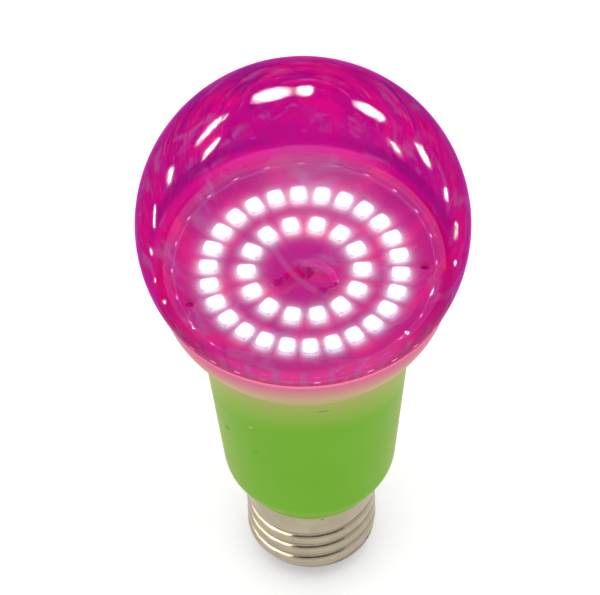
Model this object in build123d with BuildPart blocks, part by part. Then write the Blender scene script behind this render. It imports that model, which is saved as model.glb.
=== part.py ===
from build123d import *
import os
from math import acos, asin, ceil, cos, degrees, radians, sin, sqrt, tan

# LED grow light bulb with an E26 screw cap. The origin is the tip of the centre contact, and +Z runs up
# the bulb's axis to the top of the globe. All sizes are in millimetres.

# Fits between pieces
slip_gap = 0.1                  # pieces that slide together
free_gap = 0.3                  # pieces that pass each other

# Globe
globe_radius = 32.5
globe_wall = 1.2
globe_rise = 14.0               # centre of the sphere above its seat
globe_overhang = 0.33           # globe's mouth past the housing's rim
globe_edge_round = 0.8
skirt_height = 2.4              # thick ring at the mouth
tab_count = 3
tab_angle = 108.5               # first snap tab, from +X
tab_width = 6.0
tab_height = 1.2
tab_reach = 0.8                 # how far a tab stands in from the skirt

# Housing
housing_length = 63.3           # foot to the globe's seat
housing_wall = 2.0
rim_edge_round = 0.3
seat_width = 1.5                # ledge that the globe stands on
collar_wall = 1.1
collar_height = 1.9
bowl_radius = 19.3              # roundness of the bowl's flank
bowl_lean = 3.0                 # degrees off upright at the rim
shoulder_slope = 42.0           # degrees off upright where the bowl ends
shoulder_fillet = 6.0
stem_foot_radius = 16.7
stem_taper = 5.24               # degrees off upright
foot_slope = 45.0
foot_round = 6.0
foot_lip_radius = 14.4
foot_lip_height = 1.5
foot_floor = 1.5                # floor of the housing above the screw shell
neck_wall = 1.45

# Aluminium cup
cup_wall = 1.2
cup_start = 36.0                # lower edge above the contact tip
cup_rim_wall = 0.9
cup_rim_rise = 0.75             # rim above the globe's seat
cup_rim_round = 0.3
ledge_width = 1.8               # ledge under the LED board

# LED board
board_thickness = 1.2
board_drop = 0.7                # board's face below the globe's seat
wire_hole_radius = 2.0
tooling_hole_radius = 1.0
tooling_hole_margin = 1.8       # hole centre to the board's edge
tooling_hole_angles = (1.0, 197.0)

# LEDs
outer_led_count = 26
outer_ring_radius = 18.8
outer_ring_angle = -4.9
inner_led_count = 14
inner_ring_radius = 11.3
inner_ring_angle = -0.85
led_length = 3.5                # along the board's radius
led_width = 2.8
led_height = 0.7
led_corner = 0.25
window_margin = 0.3
window_depth = 0.25
window_corner = 0.7

# LED leads. Places are X and Y on the LED board.
lead_radius = 0.75
lead_across = 2.5               # leads off the middle of the driver board
lead_margin = 3.0               # leads below the driver board's upper edge, and their run above it
lead_stand_off = 3.0            # leads out from the driver board
lead_upright = 4.0              # upright run under the LED board
lead_hump = 0.9                 # rise over the wire hole's edge
lead_tip_radius = 0.35
lead_bend = 1.5
tip_bend = 0.5
tip_straight = 0.9              # bare end before its bend
solder_radius = 1.25
solder_height = 0.9
right_pad = (3.45, -5.25)
left_pad = (-5.5, -2.7)
right_lead_hole = (-0.2, 0.95)
right_lead_over = (2.9, 0.6)
right_lead_turn = (5.2, -1.3)
right_lead_end = (6.0, -3.7)
left_lead_hole = (-0.85, -0.75)
left_lead_end = (-3.9, -1.95)

# Screw cap
cap_length = 24.7               # contact tip to the housing's foot
band_radius = 13.15             # plain band above the thread
band_length = 5.9               # from the housing's foot to the thread
thread_crest_radius = 13.05
thread_depth = 0.7
thread_pitch = 3.629
thread_ridge_width = 3.3
ridge_sink = 0.25               # the ridge's section starts this far below the thread's root
thread_front_crest = 18.2       # height of the first crest, on the -Y side
shell_sheet = 0.35
shell_start = 5.0               # contact tip to the shell's lower edge
shell_edge_round = 1.5
shell_hole_radius = 10.0
shell_engagement = 2.5          # shell hidden in the housing's foot
insulator_flange = 2.6
contact_radius = 4.8
contact_depth = 1.6
contact_edge_round = 0.6
cone_margin = 0.8               # insulator round the contact
rivet_radius = 1.2
rivet_rise = 0.6                # rivet above the insulator

# Driver
driver_thickness = 1.2
driver_top = 72.0
driver_shoulder = 33.0          # where the board widens above the neck
driver_side_gap = 1.2
driver_foot = 12.0
guide_depth = 0.7
capacitor_place = (-5.5, 61.0)  # places are across and up, on the board
capacitor_radius = 4.0
capacitor_length = 9.0
capacitor_edge_round = 0.6
inductor_place = (5.0, 60.5)
core_size = (9.0, 8.0, 10.0)    # sizes are across, out from the board, and up
core_leg = 2.0
winding_rise = 0.7
winding_round = 0.6
film_place = (-4.8, 45.0)
film_size = (8.0, 6.0, 7.0)
film_edge_round = 0.6
choke_place = (5.0, 45.0)
choke_radius = 3.0
choke_waist_radius = 2.2
choke_length = 7.0
choke_flange = 1.0
bridge_place = (0.0, 26.0)
bridge_size = (4.7, 2.4, 4.0)
chip_place = (0.0, 44.0)
chip_size = (4.9, 1.5, 3.9)
resistor_row_place = (0.0, 56.0)
pin_width = 0.5
pin_reach = 1.0
pin_thickness = 0.25
chip_pin_pitch = 1.27
bridge_pin_pitch = 2.5
resistor_size = (3.2, 0.6, 1.6)
resistor_pitch = 4.0
resistor_count = 4
fuse_place = (4.0, 23.0)
fuse_radius = 1.5
fuse_length = 8.0
fuse_lead_radius = 0.3
fuse_lead_reach = 2.0
fuse_lead_bend = 0.8
mains_wire_radius = 0.6
mains_wire_bend = 1.2
mains_wire_across = 4.0
mains_wire_out = 3.6
mains_wire_height = 17.0

# Heights and radii that follow from the sizes above
foot = cap_length
seat = foot + housing_length
shell_top = foot + shell_engagement
cavity_floor = shell_top + foot_floor
band_foot = foot - band_length
root_radius = thread_crest_radius - thread_depth
neck_radius = root_radius - shell_sheet - free_gap
neck_bore = neck_radius - neck_wall
neck_foot = shell_start + shell_sheet + insulator_flange
mouth_radius = sqrt(globe_radius**2 - globe_rise**2)
rim_radius = mouth_radius - globe_overhang
collar_radius = rim_radius - seat_width
bore_radius = collar_radius - collar_wall
cup_radius = bore_radius - slip_gap
recess_radius = cup_radius - cup_rim_wall
ledge_radius = recess_radius - ledge_width
board_radius = recess_radius - slip_gap
board_top = seat - board_drop
board_foot = board_top - board_thickness
sphere_centre = seat + globe_rise
skirt_radius = collar_radius + slip_gap
cup_inset = housing_wall + slip_gap
cup_inner_inset = cup_inset + cup_wall
past = 1.0                      # how far a cutter runs past what it cuts

os.makedirs("parts", exist_ok=True)


def save(piece, name):
    """Label a finished piece and write its STEP file."""
    piece.part.label = name
    export_step(piece.part, f"parts/{name}.step")


# Housing's flank. The bowl is an arc with a straight cone below it, and it stands on the tapered stem.

bowl_centre = (
    rim_radius - bowl_radius * cos(radians(bowl_lean)),
    seat + bowl_radius * sin(radians(bowl_lean)),
)


def stem_radius(height, inset):
    """Radius of the stem's flank at a height, moved inwards by a wall."""
    flank = stem_foot_radius + (height - foot) * tan(radians(stem_taper))
    return flank - inset / cos(radians(stem_taper))


def bowl_end(inset):
    """Point where the bowl's arc runs into the cone."""
    radius = bowl_radius - inset
    slope = radians(shoulder_slope)
    return bowl_centre[0] + radius * cos(slope), bowl_centre[1] - radius * sin(slope)


def shoulder(inset):
    """Corner where the cone meets the stem."""
    end_radius, end_height = bowl_end(inset)
    lean = tan(radians(shoulder_slope))
    taper = tan(radians(stem_taper))
    height = (stem_radius(0, inset) - end_radius + end_height * lean) / (lean - taper)
    return stem_radius(height, inset), height


def bowl_angle(radius, inset):
    """Angle below the bowl's centre at which its arc has a radius."""
    return degrees(acos((radius - bowl_centre[0]) / (bowl_radius - inset)))


def bowl_face(rim, top, inset):
    """Face from the axis out to the cone, the bowl's flank and an upright wall above the rim."""
    end_radius, end_height = bowl_end(inset)
    cone_tip = end_height - end_radius / tan(radians(shoulder_slope))
    rim_angle = bowl_angle(rim, inset)
    rim_height = bowl_centre[1] - (bowl_radius - inset) * sin(radians(rim_angle))
    with BuildLine() as outline:
        Polyline((rim, rim_height), (rim, top), (0, top), (0, cone_tip), (end_radius, end_height))
        CenterArc(bowl_centre, bowl_radius - inset, -shoulder_slope, shoulder_slope - rim_angle)
    make_face(outline.edges())


def round_corner(sketch, corner, radius):
    """Round the one corner of a sketch that lies at a point."""
    fillet(sketch.vertices().sort_by_distance(corner)[0], radius)


# Housing: green moulded shell. Its neck goes down inside the screw shell, a lip covers the shell's upper
# edge, a ledge carries the globe, and a collar with three gaps holds the globe's tabs.
lip_top = foot + foot_lip_height
foot_lean = tan(radians(foot_slope))
foot_corner_height = (
    stem_radius(lip_top, 0) - foot_lip_radius
) / (foot_lean - tan(radians(stem_taper))) + lip_top
foot_corner = (stem_radius(foot_corner_height, 0), foot_corner_height)
neck_shoulder_radius = band_radius - shell_sheet - slip_gap
neck_step = band_foot + thread_depth + free_gap
slot_radius = band_radius + slip_gap
collar_top = seat + collar_height

with BuildPart() as housing:
    with BuildSketch(Plane.XZ) as outside:
        Polygon(
            (0, neck_foot),
            (neck_radius, neck_foot),
            (neck_radius, neck_step),
            (neck_shoulder_radius, neck_step),
            (neck_shoulder_radius, shell_top),
            (slot_radius, shell_top),
            (slot_radius, foot),
            (foot_lip_radius, foot),
            (foot_lip_radius, lip_top),
            foot_corner,
            (stem_radius(seat, 0), seat),
            (collar_radius, seat),
            (collar_radius, collar_top),
            (0, collar_top),
            align=None,
        )
        bowl_face(rim_radius, seat, 0)
        round_corner(outside, foot_corner, foot_round)
        round_corner(outside, shoulder(0), shoulder_fillet)
        round_corner(outside, (rim_radius, seat), rim_edge_round)
    revolve()
    with BuildSketch(Plane.XZ) as inside:
        Polygon(
            (0, neck_foot - past),
            (neck_bore, neck_foot - past),
            (neck_bore, cavity_floor),
            (stem_radius(cavity_floor, housing_wall), cavity_floor),
            (stem_radius(seat, housing_wall), seat),
            (0, seat),
            align=None,
        )
        bowl_face(bore_radius, collar_top + past, housing_wall)
        round_corner(inside, shoulder(housing_wall), shoulder_fillet + housing_wall)
    revolve(mode=Mode.SUBTRACT)
    # Gaps in the collar for the globe's tabs
    with BuildSketch(Plane.XY.offset(seat)):
        with PolarLocations(collar_radius - collar_wall / 2, tab_count, start_angle=tab_angle):
            Rectangle(collar_wall + 2 * slip_gap, tab_width + 2 * slip_gap)
    extrude(amount=collar_height, mode=Mode.SUBTRACT)
    # Two upright grooves that hold the driver board's tail
    with BuildSketch(Plane.XY.offset(driver_foot)):
        Rectangle(2 * (neck_bore + guide_depth), driver_thickness + 2 * slip_gap)
    extrude(amount=cavity_floor - driver_foot, mode=Mode.SUBTRACT)
    # Notch in the neck's lower edge for the neutral wire
    with BuildSketch(Plane.XY.offset(neck_foot)):
        with Locations((0, neck_radius - neck_wall / 2)):
            Rectangle(2 * (mains_wire_radius + slip_gap), 2 * neck_wall)
    extrude(amount=2 * (mains_wire_radius + slip_gap), mode=Mode.SUBTRACT)
save(housing, "housing")

# Globe: clear shell moulded in one piece, with a thick ring at its mouth that stands on the housing's
# ledge, and three tabs that snap into the gaps of the collar.
inner_sphere = globe_radius - globe_wall
skirt_top = seat + skirt_height
ceiling_radius = sqrt(inner_sphere**2 - (sphere_centre - skirt_top) ** 2)
mouth_angle = degrees(asin(globe_rise / globe_radius))
skirt_angle = degrees(asin((sphere_centre - skirt_top) / inner_sphere))

with BuildPart() as globe:
    with BuildSketch(Plane.XZ) as wall:
        with BuildLine():
            CenterArc((0, sphere_centre), globe_radius, -mouth_angle, 90 + mouth_angle)
            Polyline(
                (mouth_radius, seat),
                (skirt_radius, seat),
                (skirt_radius, skirt_top),
                (ceiling_radius, skirt_top),
            )
            CenterArc((0, sphere_centre), inner_sphere, -skirt_angle, 90 + skirt_angle)
            Line((0, sphere_centre + inner_sphere), (0, sphere_centre + globe_radius))
        make_face()
        round_corner(wall, (mouth_radius, seat), globe_edge_round)
    revolve()
    with BuildSketch(Plane.XY.offset(seat + slip_gap)):
        with PolarLocations(skirt_radius, tab_count, start_angle=tab_angle):
            Rectangle(2 * tab_reach, tab_width)
    extrude(amount=tab_height)
save(globe, "globe")

# Aluminium cup: pressed into the housing to spread the heat. The LED board drops onto its ledge, and its
# rounded rim stands round the board.
cup_top = seat + cup_rim_rise
cup_bore_foot = cup_start - past

with BuildPart() as heat_sink_cup:
    with BuildSketch(Plane.XZ) as outside:
        Polygon(
            (0, cup_start),
            (stem_radius(cup_start, cup_inset), cup_start),
            (stem_radius(board_foot, cup_inset), board_foot),
            (0, board_foot),
            align=None,
        )
        bowl_face(cup_radius, cup_top, cup_inset)
        round_corner(outside, shoulder(cup_inset), shoulder_fillet + cup_inset)
    revolve()
    with BuildSketch(Plane.XZ) as inside:
        Polygon(
            (0, cup_bore_foot),
            (stem_radius(cup_bore_foot, cup_inner_inset), cup_bore_foot),
            (stem_radius(board_foot, cup_inner_inset), board_foot),
            (0, board_foot),
            align=None,
        )
        bowl_face(ledge_radius, board_foot, cup_inner_inset)
        round_corner(inside, shoulder(cup_inner_inset), shoulder_fillet + cup_inner_inset)
    revolve(mode=Mode.SUBTRACT)
    # Seat of the LED board
    with BuildSketch(Plane.XY.offset(board_foot)):
        Circle(recess_radius)
    extrude(amount=cup_top - board_foot, mode=Mode.SUBTRACT)
    fillet(heat_sink_cup.edges().group_by(Axis.Z)[-1], cup_rim_round)
save(heat_sink_cup, "heat_sink_cup")

# LED board: white-faced aluminium disc with a wire hole in the middle and two tooling holes at the edge
with BuildPart() as led_board:
    with BuildSketch(Plane.XY.offset(board_foot)):
        Circle(board_radius)
        Circle(wire_hole_radius, mode=Mode.SUBTRACT)
        for angle in tooling_hole_angles:
            with PolarLocations(board_radius - tooling_hole_margin, 1, start_angle=angle):
                Circle(tooling_hole_radius, mode=Mode.SUBTRACT)
    extrude(amount=board_thickness)
save(led_board, "led_board")

# LEDs: two rings of surface-mount packages, each a pale moulded body with a light-giving window let into
# its face
led_rings = {
    "outer": (outer_ring_radius, outer_led_count, outer_ring_angle),
    "inner": (inner_ring_radius, inner_led_count, inner_ring_angle),
}
window_length = led_length - 2 * window_margin
window_width = led_width - 2 * window_margin
window_floor = board_top + led_height - window_depth

for ring_name, (ring_radius, led_count, first_angle) in led_rings.items():
    with BuildPart() as led_packages:
        with BuildSketch(Plane.XY.offset(board_top)):
            with PolarLocations(ring_radius, led_count, start_angle=first_angle):
                RectangleRounded(led_length, led_width, led_corner)
        extrude(amount=led_height)
        with BuildSketch(Plane.XY.offset(window_floor)):
            with PolarLocations(ring_radius, led_count, start_angle=first_angle):
                RectangleRounded(window_length, window_width, window_corner)
        extrude(amount=window_depth, mode=Mode.SUBTRACT)
    save(led_packages, f"{ring_name}_led_packages")

    with BuildPart() as led_windows:
        with BuildSketch(Plane.XY.offset(window_floor)):
            with PolarLocations(ring_radius, led_count, start_angle=first_angle):
                RectangleRounded(window_length, window_width, window_corner)
        extrude(amount=window_depth)
    save(led_windows, f"{ring_name}_led_windows")


def sweep_wire(points, bend, radius):
    """Round wire along straight runs joined by tangent arcs."""
    with BuildLine() as run:
        FilletPolyline(*points, radius=bend)
    with BuildSketch(Plane(run.line @ 0, z_dir=run.line % 0)) as section:
        Circle(radius)
    sweep(section.sketch, path=run.line)


# LED leads: two insulated wires from the driver board up through the wire hole. Each lies on the LED board
# and ends in a tinned tip that is soldered to its pad.
driver_face = -driver_thickness / 2
lead_out = driver_face - lead_stand_off
lead_start = driver_top - lead_margin
lead_clear = driver_top + lead_margin
lead_lying = board_top + lead_radius
lead_top = lead_lying + lead_hump
tip_end_height = board_top + solder_height / 2
right_rise = (*right_lead_hole, lead_top)
right_turn = (*right_lead_turn, lead_lying)
right_strip = (*right_lead_end, lead_lying)
left_rise = (*left_lead_hole, lead_top)
left_strip = (*left_lead_end, lead_lying)

with BuildPart() as led_lead_right:
    sweep_wire(
        (
            (lead_across, driver_face, lead_start),
            (lead_across, lead_out, lead_start),
            (lead_across - lead_radius, lead_out, lead_clear),
            (*right_lead_hole, board_foot - lead_upright),
            right_rise,
            (*right_lead_over, (lead_top + lead_lying) / 2),
            right_turn,
            right_strip,
        ),
        lead_bend,
        lead_radius,
    )
save(led_lead_right, "led_lead_right")

with BuildPart() as led_lead_left:
    sweep_wire(
        (
            (-lead_across, driver_face, lead_start),
            (-lead_across, lead_out, lead_start),
            (lead_radius - lead_across, lead_out, lead_clear),
            (*left_lead_hole, board_foot - lead_upright),
            left_rise,
            left_strip,
        ),
        lead_bend,
        lead_radius,
    )
save(led_lead_left, "led_lead_left")


def beyond(start, end, distance):
    """Point past the end of a straight run, in line with it."""
    run = Vector(end) - Vector(start)
    return Vector(end) + run.normalized() * distance


with BuildPart() as led_lead_tips:
    sweep_wire(
        (right_strip, beyond(right_turn, right_strip, tip_straight), (*right_pad, tip_end_height)),
        tip_bend,
        lead_tip_radius,
    )
    sweep_wire(
        (left_strip, beyond(left_rise, left_strip, tip_straight), (*left_pad, tip_end_height)),
        tip_bend,
        lead_tip_radius,
    )
save(led_lead_tips, "led_lead_tips")

# Solder joints: a dome of solder on each pad, set round the lead's tip
dome_radius = (solder_radius**2 + solder_height**2) / (2 * solder_height)
dome_centre = board_top + solder_height - dome_radius

with BuildPart() as led_solder_joints:
    with Locations((*right_pad, dome_centre), (*left_pad, dome_centre)):
        Sphere(dome_radius, arc_size1=degrees(asin((board_top - dome_centre) / dome_radius)), align=None)
    add(led_lead_tips.part, mode=Mode.SUBTRACT)
save(led_solder_joints, "led_solder_joints")

# Screw shell: one thin sheet rolled with a round right-hand thread, so that the thread shows inside as
# well as outside. A plain band stands above the thread, and the lower edge is rolled in.
side_crest = thread_front_crest + thread_pitch / 4
turns_down = ceil((side_crest - shell_start + thread_ridge_width) / thread_pitch)
thread_low = side_crest - turns_down * thread_pitch
thread_high = band_foot + thread_ridge_width / 2


def thread_form(inset):
    """Plug with the shell's thread and band, moved inwards by an inset."""
    band = band_radius - inset
    root = root_radius - inset
    floor = shell_start + inset
    top = shell_top + (past if inset else 0)
    band_root = band_foot - thread_depth - ridge_sink
    with BuildPart() as form:
        with BuildSketch(Plane.XY.offset(thread_low - thread_ridge_width)):
            Circle(root)
        extrude(amount=top - thread_low + thread_ridge_width)
        with BuildLine() as thread_line:
            Helix(thread_pitch, thread_high - thread_low, root, center=(0, 0, thread_low))
        with BuildSketch(Plane(thread_line.line @ 0, (1, 0, 0), thread_line.line % 0)) as ridge:
            with BuildLine():
                ThreePointArc(
                    (-ridge_sink, -thread_ridge_width / 2),
                    (thread_depth, 0),
                    (-ridge_sink, thread_ridge_width / 2),
                )
                Line((-ridge_sink, thread_ridge_width / 2), (-ridge_sink, -thread_ridge_width / 2))
            make_face()
        sweep(ridge.sketch, path=thread_line.line, is_frenet=True)
        with BuildSketch(Plane.XZ):
            Polygon(
                (0, band_root),
                (root - ridge_sink, band_root),
                (band, band_foot),
                (band, top),
                (0, top),
                align=None,
            )
        revolve()
        with BuildSketch(Plane.XZ) as envelope:
            Polygon((0, floor), (band, floor), (band, top), (0, top), align=None)
            round_corner(envelope, (band, floor), shell_edge_round - inset)
        revolve(mode=Mode.INTERSECT)
    return form.part


with BuildPart() as screw_shell:
    add(thread_form(0))
    add(thread_form(shell_sheet), mode=Mode.SUBTRACT)
    with BuildSketch(Plane.XY.offset(shell_start)):
        Circle(shell_hole_radius)
    extrude(amount=shell_sheet, mode=Mode.SUBTRACT)
save(screw_shell, "screw_shell")

# Insulator: moulded disc clamped between the rolled edge and the housing's neck, with a cone below
insulator_foot = shell_start + shell_sheet
insulator_radius = band_radius - shell_edge_round - slip_gap
nose_radius = shell_hole_radius - slip_gap

with BuildPart() as base_insulator:
    with BuildSketch(Plane.XZ):
        Polygon(
            (rivet_radius + slip_gap, neck_foot),
            (rivet_radius + slip_gap, contact_depth),
            (contact_radius + cone_margin, contact_depth),
            (nose_radius, shell_start),
            (nose_radius, insulator_foot),
            (insulator_radius, insulator_foot),
            (insulator_radius, neck_foot),
            align=None,
        )
    revolve()
save(base_insulator, "base_insulator")

# Centre contact: a flat metal button with a rivet through the insulator
with BuildPart() as centre_contact:
    with BuildSketch(Plane.XZ) as button:
        Polygon(
            (0, 0),
            (contact_radius, 0),
            (contact_radius, contact_depth),
            (rivet_radius, contact_depth),
            (rivet_radius, neck_foot + rivet_rise),
            (0, neck_foot + rivet_rise),
            align=None,
        )
        round_corner(button, (contact_radius, 0), contact_edge_round)
    revolve()
save(centre_contact, "centre_contact")

# Driver board: upright circuit board in the stem. Its narrow tail stands in the neck's two grooves.
tail_reach = neck_bore + guide_depth - slip_gap
driver_reach = stem_radius(cup_start, cup_inner_inset) - driver_side_gap

with BuildPart() as driver_board:
    with BuildSketch(Plane.XZ):
        Polygon(
            (-tail_reach, driver_foot),
            (tail_reach, driver_foot),
            (tail_reach, driver_shoulder),
            (driver_reach, driver_shoulder),
            (driver_reach, driver_top),
            (-driver_reach, driver_top),
            (-driver_reach, driver_shoulder),
            (-tail_reach, driver_shoulder),
            align=None,
        )
    extrude(amount=driver_thickness / 2, both=True)
save(driver_board, "driver_board")

# Parts on the front of the driver board, which faces -Y. Places are across and up.
front_face = Plane.XZ.offset(driver_thickness / 2)
back_face = Plane.XZ.offset(-driver_thickness / 2)

with BuildPart() as smoothing_capacitor:
    with BuildSketch(front_face):
        with Locations(capacitor_place):
            Circle(capacitor_radius)
    extrude(amount=capacitor_length)
    fillet(smoothing_capacitor.faces().sort_by(Axis.Y)[0].edges(), capacitor_edge_round)
save(smoothing_capacitor, "smoothing_capacitor")

core_across, core_out, core_up = core_size
core_window = (core_across - 2 * core_leg, core_up - 2 * core_leg)

with BuildPart() as inductor_core:
    with BuildSketch(front_face):
        with Locations(inductor_place):
            Rectangle(core_across, core_up)
            Rectangle(*core_window, mode=Mode.SUBTRACT)
    extrude(amount=core_out)
save(inductor_core, "inductor_core")

with BuildPart() as inductor_winding:
    with BuildSketch(front_face):
        with Locations(inductor_place):
            Rectangle(*core_window)
    extrude(amount=core_out + winding_rise)
    fillet(inductor_winding.faces().sort_by(Axis.Y)[0].edges(), winding_round)
save(inductor_winding, "inductor_winding")

film_across, film_out, film_up = film_size

with BuildPart() as film_capacitor:
    with BuildSketch(front_face):
        with Locations(film_place):
            Rectangle(film_across, film_up)
    extrude(amount=film_out)
    fillet(film_capacitor.faces().sort_by(Axis.Y)[0].edges(), film_edge_round)
save(film_capacitor, "film_capacitor")

with BuildPart() as filter_choke:
    with BuildSketch(front_face):
        with Locations(choke_place):
            Circle(choke_radius)
    extrude(amount=choke_length)
    with BuildSketch(front_face.offset(choke_flange)):
        with Locations(choke_place):
            Circle(choke_radius + past)
            Circle(choke_waist_radius, mode=Mode.SUBTRACT)
    extrude(amount=choke_length - 2 * choke_flange, mode=Mode.SUBTRACT)
save(filter_choke, "filter_choke")

fuse_out = driver_face - fuse_lead_reach
fuse_across, fuse_middle = fuse_place
fuse_lead_span = fuse_length / 2 + fuse_lead_reach

with BuildPart() as fusible_resistor:
    sweep_wire(
        (
            (fuse_across, driver_face, fuse_middle - fuse_lead_span),
            (fuse_across, fuse_out, fuse_middle - fuse_lead_span),
            (fuse_across, fuse_out, fuse_middle + fuse_lead_span),
            (fuse_across, driver_face, fuse_middle + fuse_lead_span),
        ),
        fuse_lead_bend,
        fuse_lead_radius,
    )
    with BuildSketch(Plane.XY.offset(fuse_middle - fuse_length / 2)):
        with Locations((fuse_across, fuse_out)):
            Circle(fuse_radius)
    extrude(amount=fuse_length)
save(fusible_resistor, "fusible_resistor")


# Parts on the back of the driver board

def flat_package(size, place, pin_pitch, pins_per_side):
    """Moulded package on the back face, with a row of flat pins above and below it."""
    across, out, up = size
    with BuildSketch(back_face) as body:
        with Locations(place):
            Rectangle(across, up)
    extrude(body.sketch, amount=-out)
    with BuildSketch(back_face) as pins:
        with Locations(place):
            with GridLocations(pin_pitch, up + pin_reach, pins_per_side, 2):
                Rectangle(pin_width, pin_reach)
    extrude(pins.sketch, amount=-pin_thickness)


with BuildPart() as bridge_rectifier:
    flat_package(bridge_size, bridge_place, bridge_pin_pitch, 2)
save(bridge_rectifier, "bridge_rectifier")

with BuildPart() as driver_chip:
    flat_package(chip_size, chip_place, chip_pin_pitch, 4)
save(driver_chip, "driver_chip")

resistor_across, resistor_out, resistor_up = resistor_size

with BuildPart() as chip_resistors:
    with BuildSketch(back_face):
        with Locations(resistor_row_place):
            with GridLocations(resistor_pitch, 0, resistor_count, 1):
                Rectangle(resistor_across, resistor_up)
    extrude(amount=-resistor_out)
save(chip_resistors, "chip_resistors")

# Mains wires: the live wire drops to the contact's rivet, and the neutral wire leaves through the notch in
# the neck and ends at the screw shell
wire_turn_height = neck_foot + mains_wire_radius + slip_gap
live_turn_height = (driver_foot + neck_foot + rivet_rise) / 2

with BuildPart() as live_wire:
    sweep_wire(
        (
            (-mains_wire_across, driver_face, mains_wire_height),
            (-mains_wire_across, -mains_wire_out, mains_wire_height),
            (-mains_wire_across, -mains_wire_out, live_turn_height),
            (0, 0, live_turn_height),
            (0, 0, neck_foot + rivet_rise),
        ),
        mains_wire_bend,
        mains_wire_radius,
    )
save(live_wire, "live_wire")

with BuildPart() as neutral_wire:
    sweep_wire(
        (
            (mains_wire_across, -driver_face, mains_wire_height),
            (mains_wire_across, mains_wire_out, mains_wire_height),
            (mains_wire_across, mains_wire_out, wire_turn_height),
            (0, neck_bore - neck_wall, wire_turn_height),
            (0, root_radius - shell_sheet - slip_gap, wire_turn_height),
        ),
        mains_wire_bend,
        mains_wire_radius,
    )
save(neutral_wire, "neutral_wire")
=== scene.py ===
from math import acos, cos, pi, radians, sin, sqrt

import bpy
from mathutils import Matrix, Vector

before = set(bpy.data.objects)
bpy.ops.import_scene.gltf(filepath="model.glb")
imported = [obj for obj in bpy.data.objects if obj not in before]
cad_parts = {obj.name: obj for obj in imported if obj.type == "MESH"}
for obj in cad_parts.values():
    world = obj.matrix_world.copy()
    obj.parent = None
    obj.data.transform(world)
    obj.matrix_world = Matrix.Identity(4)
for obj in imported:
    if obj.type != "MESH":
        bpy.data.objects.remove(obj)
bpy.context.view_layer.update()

# Screw shell: one thin steel sheet, rolled with a round thread and nickel plated. It is slipped over the
# housing's neck and crimped under the foot lip. The plating is warm and satin, with fine lines round it
# from the rolling and a few dark specks, and painted shade darkens the roots of the thread.
thread_root = 0.01235
thread_crest = 0.01305
plate_dull = (0.365, 0.308, 0.222)
plate_plain = (0.400, 0.341, 0.250)
plate_bright = (0.445, 0.391, 0.301)
speck_and_shade_brown = (0.20, 0.16, 0.11)
root_shade_share = 0.3
plate_specks = (
    ((0.0021, -0.0130, 0.0224), (0.0005, 0.0005, 0.0003)),
    ((0.0112, -0.0057, 0.0056), (0.0004, 0.0005, 0.0004)),
)


def new_finish(name, roughness=0.5, metallic=0.0):
    """Material with one shader, whose plain values are set on the shader itself."""
    material = bpy.data.materials.new(name)
    material.use_nodes = True
    shader = material.node_tree.nodes["Principled BSDF"]
    shader.inputs["Roughness"].default_value = roughness
    shader.inputs["Metallic"].default_value = metallic
    return material, material.node_tree, shader


def place(tree, stretch=(1, 1, 1), turn=(0, 0, 0), shift=(0, 0, 0)):
    """Where a point lies on the piece, stretched, turned and shifted for a pattern."""
    mapping = tree.nodes.new("ShaderNodeMapping")
    mapping.inputs["Location"].default_value = shift
    mapping.inputs["Rotation"].default_value = turn
    mapping.inputs["Scale"].default_value = stretch
    coordinate = tree.nodes.new("ShaderNodeTexCoord")
    tree.links.new(coordinate.outputs["Object"], mapping.inputs["Vector"])
    return mapping.outputs["Vector"]


def clouds(tree, where, scale, detail=3.0, distortion=0.0):
    """Soft random patches, from 0 to 1. The scale is patches per metre."""
    noise = tree.nodes.new("ShaderNodeTexNoise")
    noise.inputs["Scale"].default_value = scale
    noise.inputs["Detail"].default_value = detail
    noise.inputs["Distortion"].default_value = distortion
    tree.links.new(where, noise.inputs["Vector"])
    return noise.outputs["Fac"]


def calc(tree, operation, first, second=0.0):
    """One step of arithmetic. Each term is a socket or a plain number."""
    math_node = tree.nodes.new("ShaderNodeMath")
    math_node.operation = operation
    for term, socket in zip((first, second), math_node.inputs):
        if isinstance(term, (int, float)):
            socket.default_value = term
        else:
            tree.links.new(term, socket)
    return math_node.outputs["Value"]


def overlap(tree, first, *others):
    """What several masks share: their product. Each is a socket or a plain number."""
    product = first
    for other in others:
        product = calc(tree, "MULTIPLY", product, other)
    return product


def graded(tree, value, low, high, manner="SMOOTHSTEP"):
    """Value brought to 0 at the low end and 1 at the high end, with a soft start and stop."""
    span = tree.nodes.new("ShaderNodeMapRange")
    span.interpolation_type = manner
    span.inputs["From Min"].default_value = low
    span.inputs["From Max"].default_value = high
    tree.links.new(value, span.inputs["Value"])
    return span.outputs["Result"]


def shades(tree, value, *stops):
    """Colours along a value. Each stop is a position and a colour."""
    ramp = tree.nodes.new("ShaderNodeValToRGB")
    points = ramp.color_ramp.elements
    while len(points) < len(stops):
        points.new(0.5)
    for point, (position, colour) in zip(points, stops):
        point.position = position
        point.color = (*colour, 1)
    tree.links.new(value, ramp.inputs["Fac"])
    return ramp.outputs["Color"]


def blended(tree, share, first, second):
    """Two colours mixed by a share. Each colour is a socket or three numbers."""
    mix = tree.nodes.new("ShaderNodeMix")
    mix.data_type = "RGBA"
    for term, socket in ((share, mix.inputs[0]), (first, mix.inputs[6]), (second, mix.inputs[7])):
        if isinstance(term, tuple):
            socket.default_value = (*term, 1)
        else:
            tree.links.new(term, socket)
    return mix.outputs[2]


def raised(tree, shader, height, distance, strength):
    """Fine relief of a surface, as bump."""
    bump = tree.nodes.new("ShaderNodeBump")
    bump.inputs["Distance"].default_value = distance
    bump.inputs["Strength"].default_value = strength
    tree.links.new(height, bump.inputs["Height"])
    tree.links.new(bump.outputs["Normal"], shader.inputs["Normal"])


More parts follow.
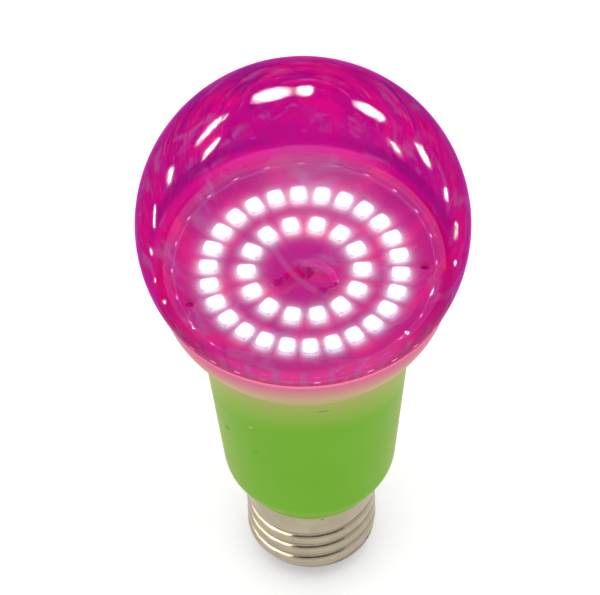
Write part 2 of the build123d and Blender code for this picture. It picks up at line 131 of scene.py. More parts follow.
def axis_parts(tree):
    """A point's distance from the bulb's axis, its angle round it and its height."""
    split = tree.nodes.new("ShaderNodeSeparateXYZ")
    tree.links.new(place(tree), split.inputs["Vector"])
    across, back, height = split.outputs
    squares = calc(tree, "ADD", calc(tree, "POWER", across, 2), calc(tree, "POWER", back, 2))
    return calc(tree, "SQRT", squares), calc(tree, "ARCTAN2", back, across), height


def spot(tree, centre, reach):
    """Mask of one small mark: 1 at its centre and 0 past its reach along each axis."""
    stretch = [1 / size for size in reach]
    shift = [-middle / size for middle, size in zip(centre, reach)]
    length = tree.nodes.new("ShaderNodeVectorMath")
    length.operation = "LENGTH"
    tree.links.new(place(tree, stretch, shift=shift), length.inputs[0])
    return graded(tree, length.outputs["Value"], 1.0, 0.5)


def paint(tree, shader, colour):
    """Colour of a surface, from a pattern."""
    tree.links.new(colour, shader.inputs["Base Color"])


def gloss(tree, shader, value, smooth, rough):
    """Roughness of a surface, from a pattern."""
    span = graded(tree, value, 0.3, 0.7)
    span.node.inputs["To Min"].default_value = smooth
    span.node.inputs["To Max"].default_value = rough
    tree.links.new(span, shader.inputs["Roughness"])


def dress(material, *nodes):
    """Give solids of the frame their finish."""
    for name in nodes:
        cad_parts[name].material_slots[0].material = material


nickel, tree, shader = new_finish("nickel_plate", metallic=1.0)
radius = axis_parts(tree)[0]
rolling = clouds(tree, place(tree, stretch=(60, 60, 9000)), scale=1.0, detail=4)
patches = clouds(tree, place(tree), scale=220, detail=4)
plate = shades(tree, patches, (0.3, plate_dull), (0.55, plate_plain), (0.75, plate_bright))
# Painted shade: the plating is darker towards the roots of the thread.
root_shade = overlap(tree, graded(tree, radius, thread_crest, thread_root), root_shade_share)
plate = blended(tree, root_shade, plate, speck_and_shade_brown)
for centre, reach in plate_specks:
    plate = blended(tree, spot(tree, centre, reach), plate, speck_and_shade_brown)
paint(tree, shader, plate)
gloss(tree, shader, patches, smooth=0.12, rough=0.20)
raised(tree, shader, rolling, distance=0.00002, strength=0.15)
dress(nickel, "screw_shell")

# Insulator: black moulded disc with a cone below. It is clamped between the shell's rolled edge and the
# housing's neck, and keeps the two poles apart.
insulator_black = (0.012, 0.012, 0.014)
insulator_grey = (0.030, 0.030, 0.034)

insulator, tree, shader = new_finish("black_insulator")
mould = clouds(tree, place(tree), scale=900, detail=5)
paint(tree, shader, shades(tree, mould, (0.3, insulator_black), (0.8, insulator_grey)))
gloss(tree, shader, mould, smooth=0.22, rough=0.42)
dress(insulator, "base_insulator")

# Centre contact: a plated metal button, riveted through the insulator. Its face is scuffed by the springs
# of lamp holders.
contact_dull = (0.42, 0.38, 0.30)
contact_bright = (0.66, 0.62, 0.54)

contact, tree, shader = new_finish("contact_metal", roughness=0.3, metallic=1.0)
scuffs = clouds(tree, place(tree, stretch=(1, 6, 1), turn=(0, 0, 0.6)), scale=700, detail=6)
paint(tree, shader, shades(tree, scuffs, (0.35, contact_dull), (0.7, contact_bright)))
raised(tree, shader, scuffs, distance=0.00003, strength=0.5)
dress(contact, "centre_contact")

# Driver: the mains circuit inside the stem. Its board stands in two grooves of the neck and carries
# dipped, sleeved, taped and moulded parts. Each finish has two tones, a grain, a roughness and its nodes.
driver_finishes = {
    "circuit_board": ((0.03, 0.17, 0.07), (0.06, 0.26, 0.12), 500, 0.45, ["driver_board"]),
    "capacitor_sleeve": ((0.02, 0.025, 0.05), (0.05, 0.06, 0.10), 300, 0.25, ["smoothing_capacitor"]),
    "ferrite": ((0.035, 0.035, 0.035), (0.09, 0.09, 0.085), 1500, 0.7, ["inductor_core", "filter_choke"]),
    "winding_tape": ((0.60, 0.43, 0.04), (0.78, 0.62, 0.10), 250, 0.3, ["inductor_winding"]),
    "film_box": ((0.38, 0.07, 0.03), (0.52, 0.13, 0.05), 350, 0.3, ["film_capacitor"]),
    "resistor_body": ((0.07, 0.20, 0.30), (0.12, 0.29, 0.40), 900, 0.4, ["fusible_resistor"]),
    "chip_black": ((0.015, 0.015, 0.015), (0.04, 0.04, 0.04), 1800, 0.6,
                   ["bridge_rectifier", "driver_chip", "chip_resistors"]),
}
for name, (dark, light, grain, roughness, nodes) in driver_finishes.items():
    material, tree, shader = new_finish(name, roughness)
    mottle = clouds(tree, place(tree), grain, detail=5)
    paint(tree, shader, shades(tree, mottle, (0.3, dark), (0.7, light)))
    raised(tree, shader, mottle, distance=0.00002, strength=0.4)
    dress(material, *nodes)

# Wires: stranded copper in soft insulation. Two bring the mains from the cap to the driver, and two leads
# take its current up to the LED board, where the light of the LEDs on them is painted as a glow. Each
# insulation has two tones, that painted light and its nodes.
board_face = 0.0873
face_fade = 0.001
no_light = (0.0, 0.0, 0.0)
wire_colours = {
    "red_insulation": ((0.36, 0.012, 0.02), (0.50, 0.025, 0.035), (0.30, 0.00, 0.12),
                       ["live_wire", "led_lead_left"]),
    "white_insulation": ((0.64, 0.62, 0.58), (0.76, 0.74, 0.70), (0.06, 0.22, 0.02),
                         ["neutral_wire", "led_lead_right"]),
}


def shine(tree, shader, light):
    """Light that a surface gives, from a pattern."""
    tree.links.new(light, shader.inputs["Emission Color"])
    shader.inputs["Emission Strength"].default_value = 1.0


for name, (dark, light, lamp_light, nodes) in wire_colours.items():
    material, tree, shader = new_finish(name, roughness=0.6)
    height = axis_parts(tree)[2]
    skin = clouds(tree, place(tree), scale=1200, detail=4)
    paint(tree, shader, shades(tree, skin, (0.3, dark), (0.75, light)))
    # Painted light: above the board's face the insulation glows, as if lit by the LEDs.
    above_board = graded(tree, height, board_face - face_fade, board_face + face_fade)
    shine(tree, shader, blended(tree, above_board, no_light, lamp_light))
    raised(tree, shader, skin, distance=0.00001, strength=0.4)
    dress(material, *nodes)

# Housing: green moulded shell that carries everything. The light of the lit globe is painted on it as a
# pink glow near the rim, reaching further down at its sides, and the LEDs' light on the collar inside the
# globe is painted too. The surface is satin, with a soft sheen at its edges, a painted sheen on the foot
# lip and a few marks.
rim_height = 0.088
glow_end = 0.060
side_reach = 0.005
leaf_green = (0.150, 0.394, 0.025)
deep_green = (0.140, 0.378, 0.022)
glow_spring_green = (0.220, 0.405, 0.048)
glow_pale_olive = (0.330, 0.388, 0.105)
glow_olive = (0.395, 0.372, 0.150)
glow_dusty_pink = (0.475, 0.318, 0.202)
glow_rim_pink = (0.600, 0.142, 0.255)
lip_sheen_green = (0.210, 0.390, 0.036)
lip_height = 0.0262
lip_fade = 0.002
collar_radius = 0.0277
collar_depth = 0.0005
collar_fade = 0.0003
collar_light = (0.00, 0.75, 0.22)
edge_sheen = (1.0, 0.40, 0.20)
scuff_green = (0.045, 0.170, 0.012)
rub_green = (0.210, 0.305, 0.050)
scratch_green = (0.100, 0.300, 0.014)
speck_yellow = (0.420, 0.420, 0.070)
speck_green = (0.300, 0.400, 0.060)
housing_marks = (
    ((-0.01617, -0.01007, 0.05061), (0.0006, 0.0008, 0.0009), scuff_green),
    ((0.00287, -0.02056, 0.06902), (0.0017, 0.0008, 0.0004), rub_green),
    ((-0.01057, -0.01578, 0.04972), (0.0008, 0.0008, 0.0004), scratch_green),
    ((-0.01154, -0.01606, 0.05846), (0.0005, 0.0005, 0.0005), speck_yellow),
    ((-0.00127, -0.02047, 0.06651), (0.0005, 0.0005, 0.0004), speck_green),
)

green, tree, shader = new_finish("green_moulding", roughness=0.36)
shader.inputs["Specular IOR Level"].default_value = 0.03
shader.inputs["Sheen Weight"].default_value = 0.25
shader.inputs["Sheen Roughness"].default_value = 0.35
shader.inputs["Sheen Tint"].default_value = (*edge_sheen, 1)
radius, angle, height = axis_parts(tree)
tone = clouds(tree, place(tree), scale=60)
body = shades(tree, tone, (0.35, deep_green), (0.65, leaf_green))
# Painted glow of the lit globe: pink at the rim, going over to the body's green lower down, and reaching
# lower at the sides.
aside = calc(tree, "POWER", calc(tree, "COSINE", angle), 2)
lifted = calc(tree, "ADD", height, calc(tree, "MULTIPLY", aside, side_reach))
lit = graded(tree, lifted, glow_end, rim_height, "LINEAR")
glow = shades(tree, lit, (0.0, leaf_green), (0.22, glow_spring_green), (0.39, glow_pale_olive), (0.66, glow_olive),
              (0.82, glow_dusty_pink), (1.0, glow_rim_pink))
colour = blended(tree, graded(tree, lit, 0.0, 0.2), body, glow)
# Painted sheen: the foot lip is a paler, yellower green.
colour = blended(tree, graded(tree, height, lip_height + lip_fade, lip_height), colour, lip_sheen_green)
for centre, reach, mark_colour in housing_marks:
    colour = blended(tree, spot(tree, centre, reach), colour, mark_colour)
paint(tree, shader, colour)
# Painted light: the collar inside the globe glows, as if lit by the LEDs.
collar = overlap(tree, graded(tree, radius, collar_radius + collar_fade, collar_radius),
                 graded(tree, height, rim_height - collar_depth, rim_height + collar_fade))
shine(tree, shader, blended(tree, collar, no_light, collar_light))
raised(tree, shader, clouds(tree, place(tree), scale=2500), distance=0.00001, strength=0.3)
dress(green, "housing")

# Aluminium cup: pressed liner that takes the heat from the LED board. Its bright rounded rim stands round
# the board with a painted reflection of the LEDs on it, as a ring of dashes, and painted light above the
# board; its flank is bare drawn metal. Under the board it is painted dark, as painted shade.
cup_cover = 0.0863
cover_radius = 0.0262
drawn_dull = (0.44, 0.46, 0.46)
drawn_bright = (0.54, 0.56, 0.56)
under_board_shade = (0.02, 0.02, 0.02)
dash_radius = 0.02575
dash_half_width = 0.00016
dash_half_angle = radians(1.5)
dash_count = 24
dash_light = (3.5, 14.0, 4.5)
cup_light = (0.25, 0.30, 0.22)


def off_nearest(tree, angle, count, first):
    """Angle from the nearest of a number of places that are evenly spaced round the axis."""
    step = 2 * pi / count
    turned = calc(tree, "SUBTRACT", angle, first)
    nearest = calc(tree, "MULTIPLY", calc(tree, "ROUND", calc(tree, "DIVIDE", turned, step)), step)
    return calc(tree, "SUBTRACT", turned, nearest)


def near(tree, value, middle, reach):
    """Mask of what lies about a value: 1 at its middle and 0 past its reach."""
    return graded(tree, calc(tree, "ABSOLUTE", calc(tree, "SUBTRACT", value, middle)), reach, 0.3 * reach)


aluminium, tree, shader = new_finish("drawn_aluminium", roughness=0.3, metallic=1.0)
radius, angle, height = axis_parts(tree)
drawn = clouds(tree, place(tree, stretch=(30, 30, 2500)), scale=1.0, detail=4)
metal = shades(tree, drawn, (0.3, drawn_dull), (0.7, drawn_bright))
# Painted shade: the metal under the board is dark.
shaded_under_board = overlap(tree, calc(tree, "LESS_THAN", height, cup_cover),
                  calc(tree, "LESS_THAN", radius, cover_radius))
paint(tree, shader, blended(tree, shaded_under_board, metal, under_board_shade))
# Painted reflection: a ring of bright dashes on the rim where it mirrors the LEDs, and painted light above
# the board.
dashes = overlap(tree, near(tree, off_nearest(tree, angle, dash_count, 0.0), 0.0, dash_half_angle),
                 near(tree, radius, dash_radius, dash_half_width),
                 calc(tree, "GREATER_THAN", height, rim_height))
glow = blended(tree, calc(tree, "GREATER_THAN", height, cup_cover), no_light, cup_light)
shine(tree, shader, blended(tree, dashes, glow, dash_light))
raised(tree, shader, drawn, distance=0.00001, strength=0.2)
dress(aluminium, "heat_sink_cup")

# LED board: aluminium disc with a white solder mask. The LEDs' light on its face is painted, most of all
# close to them, and the middle, where the leads come up, is painted darkest. Each ring of LEDs has its
# radius, its count and the angle of its first one.
led_rings = ((0.0188, 26, radians(-4.9)), (0.0113, 14, radians(-0.85)))
led_top = 0.0880
led_height = 0.0007
patch_length = 0.00340
patch_width = 0.00292
patch_roundness = 3.0
patch_outer = 1.04
patch_inner = 0.97
halo_fall = 2.4
core_light = (4.0, 30.0, 5.5)
halo_light = (1.3, 13.5, 2.3)
board_reach = 0.025
board_centre_light = (0.06, 0.30, 0.00)
board_ring_light = (0.05, 0.20, 0.00)
board_edge_light = (0.12, 0.20, 0.00)
mask_grey = (0.38, 0.40, 0.36)
mask_pale = (0.46, 0.48, 0.44)


def ring_reach(tree, radius, angle, ring):
    """How far a point is from the nearest LED of a ring: 1 on the rounded edge of its patch of light."""
    ring_radius, count, first = ring
    off = off_nearest(tree, angle, count, first)
    outward = calc(tree, "MULTIPLY", radius, calc(tree, "COSINE", off))
    outward = calc(tree, "SUBTRACT", outward, ring_radius)
    sideways = calc(tree, "MULTIPLY", radius, calc(tree, "SINE", off))
    reach = 0.0
    for way, size in ((outward, patch_length), (sideways, patch_width)):
        part = calc(tree, "DIVIDE", calc(tree, "ABSOLUTE", way), size / 2)
        reach = calc(tree, "ADD", calc(tree, "POWER", part, patch_roundness), reach)
    return calc(tree, "POWER", reach, 1 / patch_roundness)


def lamp_lit(tree, shader, unlit):
    """Light of the LEDs, painted on a face: white on each patch, with a soft halo round it."""
    radius, angle, height = axis_parts(tree)
    reach = calc(tree, "MINIMUM", *(ring_reach(tree, radius, angle, ring) for ring in led_rings))
    past = calc(tree, "MAXIMUM", calc(tree, "SUBTRACT", reach, 1), 0)
    halo = calc(tree, "EXPONENT", calc(tree, "MULTIPLY", past, -halo_fall))
    light = blended(tree, halo, unlit, halo_light)
    core = overlap(tree, graded(tree, reach, patch_outer, patch_inner),
                   graded(tree, height, led_top - led_height, led_top))
    shine(tree, shader, blended(tree, core, light, core_light))


board, tree, shader = new_finish("white_solder_mask", roughness=0.4)
radius = axis_parts(tree)[0]
mask = clouds(tree, place(tree), scale=500, detail=4)
paint(tree, shader, shades(tree, mask, (0.3, mask_grey), (0.7, mask_pale)))
# Painted light on the board's face, graded from the middle to the edge.
spread = calc(tree, "MULTIPLY", radius, 1 / board_reach)
unlit = shades(tree, spread, (0.12, board_centre_light), (0.45, board_ring_light),
               (0.95, board_edge_light))
lamp_lit(tree, shader, unlit)
dress(board, "led_board")

# LEDs: surface-mount packages, each a white moulded body with a window of silicone and phosphor, soldered
# to the board. The windows give the light, and the glow of the bodies and the halo round them are painted
# light. Each finish has two tones, a roughness and its nodes.
led_faces = {
    "led_body": ((0.80, 0.79, 0.77), (0.88, 0.87, 0.85), 0.5,
                 ["outer_led_packages", "inner_led_packages"]),
    "led_window": ((0.95, 0.90, 0.80), (0.98, 0.95, 0.90), 0.3,
                   ["outer_led_windows", "inner_led_windows"]),
}
for name, (dark, light, roughness, nodes) in led_faces.items():
    material, tree, shader = new_finish(name, roughness)
    grain = clouds(tree, place(tree), scale=2500)
    paint(tree, shader, shades(tree, grain, (0.3, dark), (0.7, light)))
    lamp_lit(tree, shader, board_ring_light)
    dress(material, *nodes)

# Solder: the tinned ends of the leads and the two joints that hold them to the board's pads, frosty where
# the solder froze.
solder_dull = (0.34, 0.32, 0.34)
solder_bright = (0.48, 0.46, 0.48)

solder, tree, shader = new_finish("bright_solder", roughness=0.45, metallic=1.0)
frost = clouds(tree, place(tree), scale=2200, detail=4)
paint(tree, shader, shades(tree, frost, (0.3, solder_dull), (0.7, solder_bright)))
raised(tree, shader, frost, distance=0.00002, strength=0.4)
dress(solder, "led_lead_tips", "led_solder_joints")

# Globe: clear tinted shell, moulded in one piece. It snaps into the housing's collar with three tabs. The
# light of the lit globe is painted on the plastic as an uneven glow, with painted reflections and shade in
# it, and near its mouth the LEDs' reflection is painted as a row of dashes. Heights are taken from its
# seat.
globe_radius = 0.0325
globe_centre = Vector((0, 0, rim_height + 0.014))
wall_tint = (0.326, 0.060, 0.270)
depth_tint = (0.62, 0.0, 0.74)
depth_density = 240.0
deep_magenta = (0.186, 0.0, 0.080)
arc_magenta = (0.120, 0.0, 0.055)
hot_pink = (0.345, 0.0, 0.080)
low_pink = (0.300, 0.035, 0.105)
mouth_pink = (0.45, 0.15, 0.20)
ring_pink = (0.70, 0.55, 0.33)
glint_pink = (0.75, 0.45, 0.60)
pale_violet = (0.165, 0.060, 0.138)
streak_violet = (0.100, 0.0, 0.070)
dark_violet = (0.050, 0.0, 0.055)


def along(tree, way):
    """How far a point lies from the globe's centre in one direction."""
    share = tree.nodes.new("ShaderNodeVectorMath")
    share.operation = "DOT_PRODUCT"
    share.inputs[1].default_value = way
    tree.links.new(place(tree, shift=-globe_centre), share.inputs[0])
    return share.outputs["Value"]


globe, tree, shader = new_finish("tinted_clear_plastic", roughness=0.0)
shader.inputs["Base Color"].default_value = (*wall_tint, 1)
shader.inputs["Transmission Weight"].default_value = 1.0
shader.inputs["IOR"].default_value = 1.004
shader.inputs["Coat Weight"].default_value = 0.02
shader.inputs["Coat IOR"].default_value = 1.5
shader.inputs["Coat Roughness"].default_value = 0.05
radius, angle, height = axis_parts(tree)
above_seat = calc(tree, "SUBTRACT", height, rim_height)
backness = graded(tree, calc(tree, "SINE", angle), -1.0, 1.0, "LINEAR")
aside = calc(tree, "COSINE", angle)
off_side = calc(tree, "ABSOLUTE", aside)

# Painted glow in warm and deep patches, warmer low at the back
warm_top = 0.040
warm_full = 0.012
glow_patches = clouds(tree, place(tree, stretch=(1, 1, 4.5)), scale=40, detail=5, distortion=1.2)
low_back = overlap(tree, graded(tree, above_seat, warm_top, warm_full), graded(tree, backness, 0.0, 0.4))
warmth = calc(tree, "ADD", graded(tree, glow_patches, 0.54, 0.38), low_back)
veil = blended(tree, warmth, deep_magenta, hot_pink)

# Pale mist of painted reflection, thicker near the mouth
mist_top = 0.014
mist_gain = 0.10
mist_share = 0.85
haze_place = place(tree, stretch=(1, 1, 1.7), turn=(0.4, 0.2, 0))
haze = clouds(tree, haze_place, scale=130, detail=6, distortion=0.7)
low_mist = overlap(tree, graded(tree, above_seat, mist_top, 0.0), mist_gain)
mist = calc(tree, "ADD", haze, low_mist)
veil = blended(tree, overlap(tree, graded(tree, mist, 0.51, 0.72), mist_share), veil, pale_violet)

# Painted glow: pink low in front, and ripples that go up and down
pink_top = 0.015
pink_full = 0.004
pink_share = 0.7
low_front = overlap(tree, graded(tree, above_seat, pink_top, pink_full),
                    graded(tree, backness, 0.35, 0.05))
veil = blended(tree, overlap(tree, low_front, pink_share), veil, low_pink)
ripple = clouds(tree, place(tree, stretch=(1, 1, 0.35)), scale=420, detail=4, distortion=0.5)
veil = blended(tree, graded(tree, ripple, 0.52, 0.80), veil, deep_magenta)

# Painted streaks, violet and hot pink, in the upper back
lines_low = 0.014
lines_full = 0.030
line_place = place(tree, stretch=(1, 1, 9), turn=(0.05, 0.03, 0))
lines = clouds(tree, line_place, scale=75, detail=5, distortion=0.4)
upper = overlap(tree, graded(tree, above_seat, lines_low, lines_full), graded(tree, backness, 0.35, 0.65))
veil = blended(tree, overlap(tree, graded(tree, lines, 0.55, 0.68), upper), veil, streak_violet)
veil = blended(tree, overlap(tree, graded(tree, lines, 0.44, 0.33), upper), veil, hot_pink)

# Painted shade: a dark arc across the dome with a hot edge in front of it, and fine hair streaks behind
# it, pale and dark, of painted reflection and shade
arc_normal = (-0.031, -0.945, 0.326)
arc_offset = 0.0141
arc_reach = 0.0016
arc_low = 0.022
arc_full = 0.028
arc_gap = 0.003
arc_side = 0.011
arc_share = 0.85
hot_share = 0.7
hair_low = 0.010
hair_full = 0.020
hair_front = 0.001
hair_back = -0.002
hair_share = 0.7
off_arc = calc(tree, "SUBTRACT", along(tree, arc_normal), arc_offset)
off_middle = calc(tree, "MULTIPLY", radius, off_side)
arc_span = overlap(tree, graded(tree, above_seat, arc_low, arc_full),
                   graded(tree, off_middle, arc_gap, arc_side))
hair_span = overlap(tree, graded(tree, above_seat, hair_low, hair_full),
                    graded(tree, off_arc, hair_front, hair_back))
hair_place = place(tree, stretch=(1, 1, 12), turn=(0.10, 0.06, 0))
hairs = clouds(tree, hair_place, scale=150, detail=6, distortion=0.3)
pale_hairs = overlap(tree, graded(tree, hairs, 0.60, 0.72), hair_span, hair_share)
veil = blended(tree, pale_hairs, veil, pale_violet)
dark_hairs = overlap(tree, graded(tree, hairs, 0.40, 0.30), hair_span, hair_share)
veil = blended(tree, dark_hairs, veil, arc_magenta)
hot_edge = overlap(tree, near(tree, off_arc, 1.5 * arc_reach, 0.7 * arc_reach), arc_span, hot_share)
veil = blended(tree, hot_edge, veil, hot_pink)
arc = overlap(tree, near(tree, off_arc, 0.0, arc_reach), arc_span, arc_share)
veil = blended(tree, arc, veil, arc_magenta)

# Painted reflections: stripes and a row of dashes near the mouth, where the LEDs shine back
stripe_count = 37
stripe_angle = radians(-91.5)
stripe_half_angle = radians(1.8)
stripe_top = 0.011
stripe_full = 0.007
row_front = 0.0042
row_back = 0.0056
row_half_width = 0.0004
row_half_angle = radians(1.6)
off_stripe = off_nearest(tree, angle, stripe_count, stripe_angle)
stripes = overlap(tree, near(tree, off_stripe, 0.0, stripe_half_angle),
                  graded(tree, above_seat, stripe_top, stripe_full),
                  graded(tree, clouds(tree, place(tree), scale=130), 0.28, 0.52))
veil = blended(tree, stripes, veil, pale_violet)
row = calc(tree, "ADD", calc(tree, "MULTIPLY", backness, row_back - row_front), row_front)
off_dash = off_nearest(tree, angle, stripe_count, stripe_angle + pi / stripe_count)
dashes = overlap(tree, near(tree, off_dash, 0.0, row_half_angle),
                 near(tree, calc(tree, "SUBTRACT", above_seat, row), 0.0, row_half_width),
                 graded(tree, clouds(tree, place(tree), scale=160), 0.36, 0.54))
veil = blended(tree, dashes, veil, glint_pink)

# One long pale streak down the front of the dome
streak_normal = (0.38, -0.454, 0.804)
streak_offset = 0.0262
streak_half_width = 0.0005
streak_low = 0.0280
streak_high = 0.0410
streak_fade = 0.0020
streak_share = 0.6
streak = overlap(tree, near(tree, along(tree, streak_normal), streak_offset, streak_half_width),
                 graded(tree, backness, 0.55, 0.40),
                 graded(tree, above_seat, streak_low, streak_low + streak_fade),
                 graded(tree, above_seat, streak_high, streak_high - streak_fade), streak_share)
veil = blended(tree, streak, veil, pale_violet)

# Painted light and shade: a bright mouth with its thick ring, a dark line over it, and shade at both sides
# of the back
mouth_height = 0.0020
mouth_fade = 0.0004
ring_radius = 0.0288
ring_fade = 0.0004
ring_top = 0.0025
ring_top_fade = 0.0003
shade_height = 0.0042
shade_slant = 0.0013
shade_reach = 0.0025
line_height = 0.0027
line_half_width = 0.0003
line_share = 0.35
veil = blended(tree, graded(tree, above_seat, mouth_height + mouth_fade, mouth_height), veil, mouth_pink)
ring = overlap(tree, graded(tree, radius, ring_radius + ring_fade, ring_radius),
               graded(tree, above_seat, ring_top + ring_top_fade, ring_top),
               graded(tree, off_side, 0.85, 0.35))
veil = blended(tree, ring, veil, ring_pink)
shade_row = calc(tree, "ADD", calc(tree, "MULTIPLY", aside, -shade_slant), shade_height)
shade = overlap(tree, near(tree, calc(tree, "SUBTRACT", above_seat, shade_row), 0.0, shade_reach),
                graded(tree, off_side, 0.3, 0.7), graded(tree, backness, 0.15, 0.6))
veil = blended(tree, shade, veil, dark_violet)
mouth_line = overlap(tree, near(tree, above_seat, line_height, line_half_width), line_share)
veil = blended(tree, mouth_line, veil, dark_violet)

# A few tiny bubbles in the plastic, painted as bright glinting specks
bubble_scale = 330.0
bubble_chance = 0.10
bubble_edge = 0.14
bubble_core = 0.04
bubble_share = 0.5
bubbles = tree.nodes.new("ShaderNodeTexVoronoi")
bubbles.inputs["Scale"].default_value = bubble_scale
tree.links.new(place(tree), bubbles.inputs["Vector"])
chosen = calc(tree, "LESS_THAN", calc(tree, "FRACT", bubbles.outputs["Color"]), bubble_chance)
bubble = overlap(tree, chosen, graded(tree, bubbles.outputs["Distance"], bubble_edge, bubble_core),
                 bubble_share)
veil = blended(tree, bubble, veil, glint_pink)
# The veil is the painted glow of the globe.
shine(tree, shader, veil)

depth = tree.nodes.new("ShaderNodeVolumeAbsorption")
depth.inputs["Color"].default_value = (*depth_tint, 1)
depth.inputs["Density"].default_value = depth_density
tree.links.new(depth.outputs["Volume"], tree.nodes["Material Output"].inputs["Volume"])
dress(globe, "globe")

# Floor: a plain pale sheet of paper under the bulb. It looks a little brighter than its light alone makes
# it, to the camera and in the metal and the globe, so that it runs into the white room.
floor_size = 6.0
paper_white = (0.93, 0.93, 0.93)
paper_lift = 0.16

bpy.ops.object.select_all(action="DESELECT")
bpy.ops.mesh.primitive_plane_add(size=floor_size, location=(0, 0, 0))
floor = bpy.context.object
floor.name = "floor"
paper, tree, shader = new_finish("white_paper", roughness=0.9)
shader.inputs["Base Color"].default_value = (*paper_white, 1)
shader.inputs["Emission Color"].default_value = (1, 1, 1, 1)
path = tree.nodes.new("ShaderNodeLightPath")
seen = calc(tree, "MAXIMUM", path.outputs["Is Camera Ray"], path.outputs["Is Glossy Ray"])
seen = calc(tree, "MAXIMUM", seen, path.outputs["Is Transmission Ray"])
tree.links.new(calc(tree, "MULTIPLY", seen, paper_lift), shader.inputs["Emission Strength"])
floor.data.materials.append(paper)

# Room: even white light from all sides. It is also the white background, in the picture and in what the
# metal mirrors.
room_light = 1.0

room = bpy.data.worlds.new("white_room")
bpy.context.scene.world = room
room.use_nodes = True
background = room.node_tree.nodes["Background"]
background.inputs["Color"].default_value = (1, 1, 1, 1)
background.inputs["Strength"].default_value = room_light

# Camera: the photo's view, from in front and above, with a long lens and a slight roll. The bulb's place
# in the picture comes from how far the camera stands to its side and above it.
view_elevation = radians(52.3356)
view_roll = radians(1.7808)
view_distance = 1.25
view_right = 0.0008455
view_up = 0.0055534
focal_pixels = 6427.6
photo_width = 600

backward = Vector((0, -cos(view_elevation), sin(view_elevation)))
level_up = Vector((0, sin(view_elevation), cos(view_elevation)))
camera_right = cos(view_roll) * Vector((1, 0, 0)) - sin(view_roll) * level_up
camera_up = sin(view_roll) * Vector((1, 0, 0)) + cos(view_roll) * level_up
eye = Vector((0, 0, rim_height)) + backward * view_distance
eye = eye - camera_right * view_right - camera_up * view_up

lens = bpy.data.cameras.new("photo_camera")
lens.sensor_fit = "HORIZONTAL"
lens.sensor_width = 36.0
lens.lens = focal_pixels * lens.sensor_width / photo_width
camera = bpy.data.objects.new("photo_camera", lens)
bpy.context.scene.collection.objects.link(camera)
axes = Matrix((camera_right, camera_up, backward)).transposed().to_4x4()
camera.matrix_world = Matrix.Translation(eye) @ axes
bpy.context.scene.camera = camera
bpy.context.scene.view_settings.view_transform = "Standard"

# Studio lights: a wide soft box overhead lights the bulb. Three strips on the left show only as
# reflections, in the turns of the screw thread. Each has its side, its rise, its length and its height.
box_place = Vector((0.0, -0.2, 1.3))
box_aim = Vector((0, 0, 0.06))
box_length = 1.2
box_width = 0.8
box_light = 1.4
strip_distance = 1.0
strip_light = 2.6
strip_aim = Vector((0, 0, 0))
strips = {
    "front_strip": (radians(-52), radians(25), 0.50, 0.46),
    "side_strip": (radians(-76), radians(18), 0.50, 0.46),
    "back_strip": (radians(-103), radians(6), 0.50, 0.36),
}


def panel(name, shape, stand, aim, width, height, brightness, upright=Vector((0, 0, 1))):
    """Light with a flat even face, turned towards a point. A brightness of 1 is white."""
    light = bpy.data.lights.new(name, "AREA")
    light.shape = shape
    light.size = width
    light.size_y = height
    light.energy = brightness * pi * width * height
    lamp = bpy.data.objects.new(name, light)
    bpy.context.scene.collection.objects.link(lamp)
    towards = (stand - aim).normalized()
    sideways = upright.cross(towards).normalized()
    axes = Matrix((sideways, towards.cross(sideways), towards)).transposed().to_4x4()
    lamp.matrix_world = Matrix.Translation(stand) @ axes
    lamp.visible_camera = False
    return lamp


def direction(side, rise):
    """Way from the bulb to a place in the room, by its angle from the front and its angle upwards."""
    return Vector((sin(side) * cos(rise), -cos(side) * cos(rise), sin(rise)))


def only_mirrored(thing):
    """Let a thing show in reflections and nowhere else."""
    thing.visible_camera = False
    thing.visible_diffuse = False
    thing.visible_transmission = False


panel("top_box", "RECTANGLE", box_place, box_aim, box_length, box_width, box_light)
for name, (side, rise, length, tall) in strips.items():
    stand = direction(side, rise) * strip_distance
    strip = panel(name, "RECTANGLE", stand, strip_aim, length, tall, strip_light)
    only_mirrored(strip)

# Glints: small soft lamps round the room and a pale screen overhead, which light the globe alone and show
# only as reflections. Each is placed by where the globe mirrors it, in pixels of the photo: across, down,
# length along the globe's edge and depth, with its brightness.
globe_across = 303
globe_down = 224.7
globe_pixels = 168
farthest_lamp = 1.0
lowest_lamp = 0.03
least_sink = 0.01
lamp_core = 0.05
glints = {
    "pale_screen": (318, 190, 220, 110, 48),
    "glint_top_left": (272, 97, 50, 15, 1400),
    "glint_top": (305, 93, 22, 13, 1200),
    "glint_right": (369, 113, 46, 11, 1400),
    "glint_left_high": (212, 130, 54, 5, 2000),
    "glint_left_low": (212, 150, 36, 5, 2000),
    "glint_far_left": (171, 177, 28, 6, 1500),
    "glint_right_low": (394, 149, 28, 3, 2000),
    "glint_far_right": (422, 156, 38, 6, 1500),
    "glint_right_edge": (444, 194, 22, 5, 1200),
    "glint_left_side": (156, 217, 34, 4, 900),
    "glint_right_side": (455, 230, 28, 4, 600),
    "sparkle_left_1": (152, 251, 12, 4, 380),
    "sparkle_left_2": (156, 279, 9, 4, 300),
    "sparkle_left_3": (165, 301, 8, 4, 300),
    "sparkle_left_4": (194, 326, 8, 4, 800),
    "sparkle_right_1": (454, 262, 14, 4, 300),
    "sparkle_right_2": (431, 292, 11, 4, 600),
    "sparkle_right_3": (407, 332, 8, 4, 800),
    "sparkle_front": (337, 370, 7, 4, 500),
}


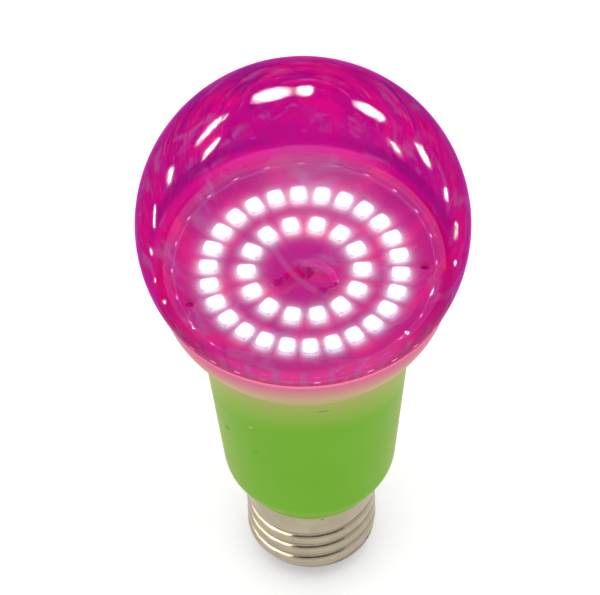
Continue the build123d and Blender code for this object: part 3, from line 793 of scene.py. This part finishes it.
def soften(light, core):
    """Let a lamp's brightness fall off softly from its core to its edge."""
    light.use_nodes = True
    tree = light.node_tree
    face = tree.nodes.new("ShaderNodeNewGeometry")
    gap = tree.nodes.new("ShaderNodeVectorMath")
    gap.operation = "DISTANCE"
    gap.inputs[1].default_value = (0.5, 0.5, 0.0)
    tree.links.new(face.outputs["Parametric"], gap.inputs[0])
    fall = graded(tree, gap.outputs["Value"], 0.5, core)
    tree.links.new(fall, tree.nodes["Emission"].inputs["Strength"])


globe_alone = bpy.data.collections.new("globe_only")
globe_alone.objects.link(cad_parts["globe"])
for name, (across, down, length, deep, brightness) in glints.items():
    right = (across - globe_across) / globe_pixels
    up = (globe_down - down) / globe_pixels
    facing = sqrt(1 - right ** 2 - up ** 2)
    lean = acos(facing)
    outward = camera_right * right + camera_up * up + backward * facing
    mirror_point = globe_centre + outward * globe_radius
    towards = 2 * facing * outward - backward
    sink = max(-towards.z, least_sink)
    lamp_distance = min(farthest_lamp, (mirror_point.z - lowest_lamp) / sink)
    width = lamp_distance * sin(2 * lean) * length / (globe_pixels * sin(lean))
    height = lamp_distance * 2 * deep / (globe_pixels * facing)
    stand = mirror_point + towards * lamp_distance
    lamp = panel(name, "ELLIPSE", stand, mirror_point, width, height, brightness, backward)
    lamp.light_linking.receiver_collection = globe_alone
    only_mirrored(lamp)
    soften(lamp.data, lamp_core)

# Dark card: a flat black board that stands in front of the bulb, as a studio uses one. It shows only in
# reflections, as the dark lines in the screw thread, and throws no shadow.
card_width = 1.3
card_height = 0.22
card_distance = 0.9
card_way = direction(radians(5), radians(33))
card_black = (0.08, 0.08, 0.08)

bpy.ops.object.select_all(action="DESELECT")
bpy.ops.mesh.primitive_plane_add(size=1.0, location=(0, 0, 0))
card = bpy.context.object
card.name = "dark_card"
card.scale = (card_width, card_height, 1)
card.rotation_euler = card_way.to_track_quat("Z", "Y").to_euler()
card.location = card_way * card_distance
black, tree, shader = new_finish("black_card", roughness=0.9)
shader.inputs["Base Color"].default_value = (*card_black, 1)
shader.inputs["Specular IOR Level"].default_value = 0.0
card.data.materials.append(black)
only_mirrored(card)
card.visible_shadow = False
